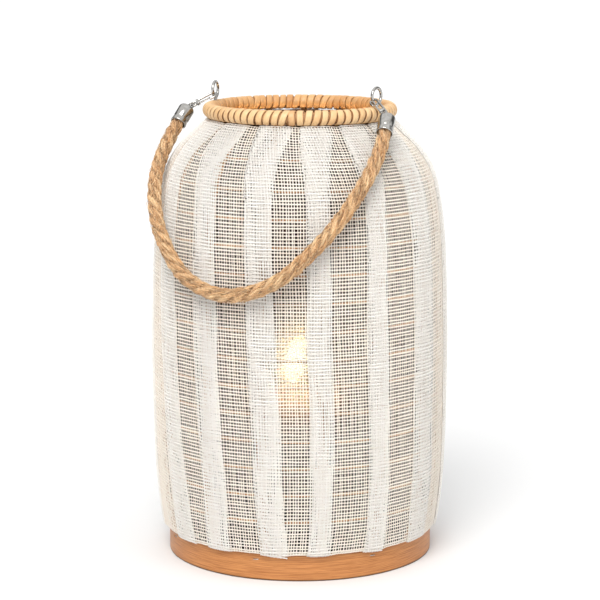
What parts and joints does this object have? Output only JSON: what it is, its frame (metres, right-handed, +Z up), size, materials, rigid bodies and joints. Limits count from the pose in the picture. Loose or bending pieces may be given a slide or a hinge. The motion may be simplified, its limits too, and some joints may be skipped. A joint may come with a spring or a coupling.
{
  "type": "hanging lantern",
  "caption": "Barrel-shaped candle lantern: bamboo cage in pleated cotton mesh, cane-wrapped rim, bent-wood base hoop, glass insert and rope handle on snap hooks.",
  "frame": {"origin": "middle of the flat base, on the surface the lantern stands on", "axes": "+Z up along the body; +X through the two screw eyes, from the left eye to the right one; the rope handle lies against the -Y side"},
  "size_m": [0.2495, 0.2654, 0.3966],
  "materials": {
    "plywood": "plain sanded wood",
    "bent_wood": "bent wood strip, satin, warm orange-tan",
    "bamboo": "split bamboo and rattan, matte",
    "cotton_mesh": "open plain weave of slubby off-white cotton",
    "gauze": "sheer dark brown gauze, matte",
    "cane": "peeled cane wrapping, satin",
    "metal": "polished plated steel",
    "jute": "laid jute rope, fuzzy",
    "glass": "clear glass",
    "wax": "ivory candle wax, soft sheen",
    "wick": "burnt cotton wick"
  },
  "bodies": {
    "lantern": {"base_plate": "plywood", "base_hoop": "bent_wood", "hoop_staple_1": "metal", "hoop_staple_2": "metal", "hoop_staple_3": "metal", "hoop_staple_4": "metal", "hoop_staple_5": "metal", "hoop_staple_6": "metal", "hoop_staple_7": "metal", "cage_slat_01": "bamboo", "cage_slat_02": "bamboo", "cage_slat_03": "bamboo", "cage_slat_04": "bamboo", "cage_slat_05": "bamboo", "cage_slat_06": "bamboo", "cage_slat_07": "bamboo", "cage_slat_08": "bamboo", "cage_slat_09": "bamboo", "cage_slat_10": "bamboo", "cage_slat_11": "bamboo", "cage_slat_12": "bamboo", "cage_slat_13": "bamboo", "cage_slat_14": "bamboo", "cage_slat_15": "bamboo", "cage_ring_01": "bamboo", "cage_ring_02": "bamboo", "cage_ring_03": "bamboo", "cage_ring_04": "bamboo", "cage_ring_05": "bamboo", "cage_ring_06": "bamboo", "cage_ring_07": "bamboo", "cage_ring_08": "bamboo", "cage_ring_09": "bamboo", "cage_ring_10": "bamboo", "cage_ring_11": "bamboo", "cage_ring_12": "bamboo", "cage_ring_13": "bamboo", "cage_ring_14": "bamboo", "cage_lining": "gauze", "fabric_cover": "cotton_mesh", "rim_core": "bamboo", "rim_wrap": "cane", "eye_left": "metal", "eye_right": "metal"},
    "handle": {"hook_left": "metal", "gate_pin_left": "metal", "link_ring_left": "metal", "ferrule_left": "metal", "hook_right": "metal", "gate_pin_right": "metal", "link_ring_right": "metal", "ferrule_right": "metal", "rope_handle": "jute"},
    "gate_left": {"gate_left": "metal"},
    "gate_right": {"gate_right": "metal"},
    "glass": {"glass_cylinder": "glass"},
    "candle": {"candle": "wax", "wick": "wick"}
  },
  "joints": [
    {"name": "handle_swing", "type": "hinge", "parent": "lantern", "child": "handle", "pos_m": [0, -0.01, 0.3887], "axis": [-1, 0, 0], "range_deg": [0, 250]},
    {"name": "gate_left_hinge", "type": "hinge", "parent": "handle", "child": "gate_left", "pos_m": [-0.08349, -0.02287, 0.37778], "axis": [0.0144, -0.6578, 0.7531], "range_deg": [0, 12], "stiffness_Nm_per_rad": 0.02, "springref_deg": -11.46},
    {"name": "gate_right_hinge", "type": "hinge", "parent": "handle", "child": "gate_right", "pos_m": [0.08349, -0.02287, 0.37778], "axis": [0.0144, 0.6578, -0.7531], "range_deg": [0, 12], "stiffness_Nm_per_rad": 0.02, "springref_deg": -11.46},
    {"name": "glass_lift", "type": "slide", "parent": "lantern", "child": "glass", "axis": [0, 0, 1], "range_m": [0, 0.42]},
    {"name": "candle_lift", "type": "slide", "parent": "lantern", "child": "candle", "axis": [0, 0, 1], "range_m": [0, 0.42]}
  ]
}
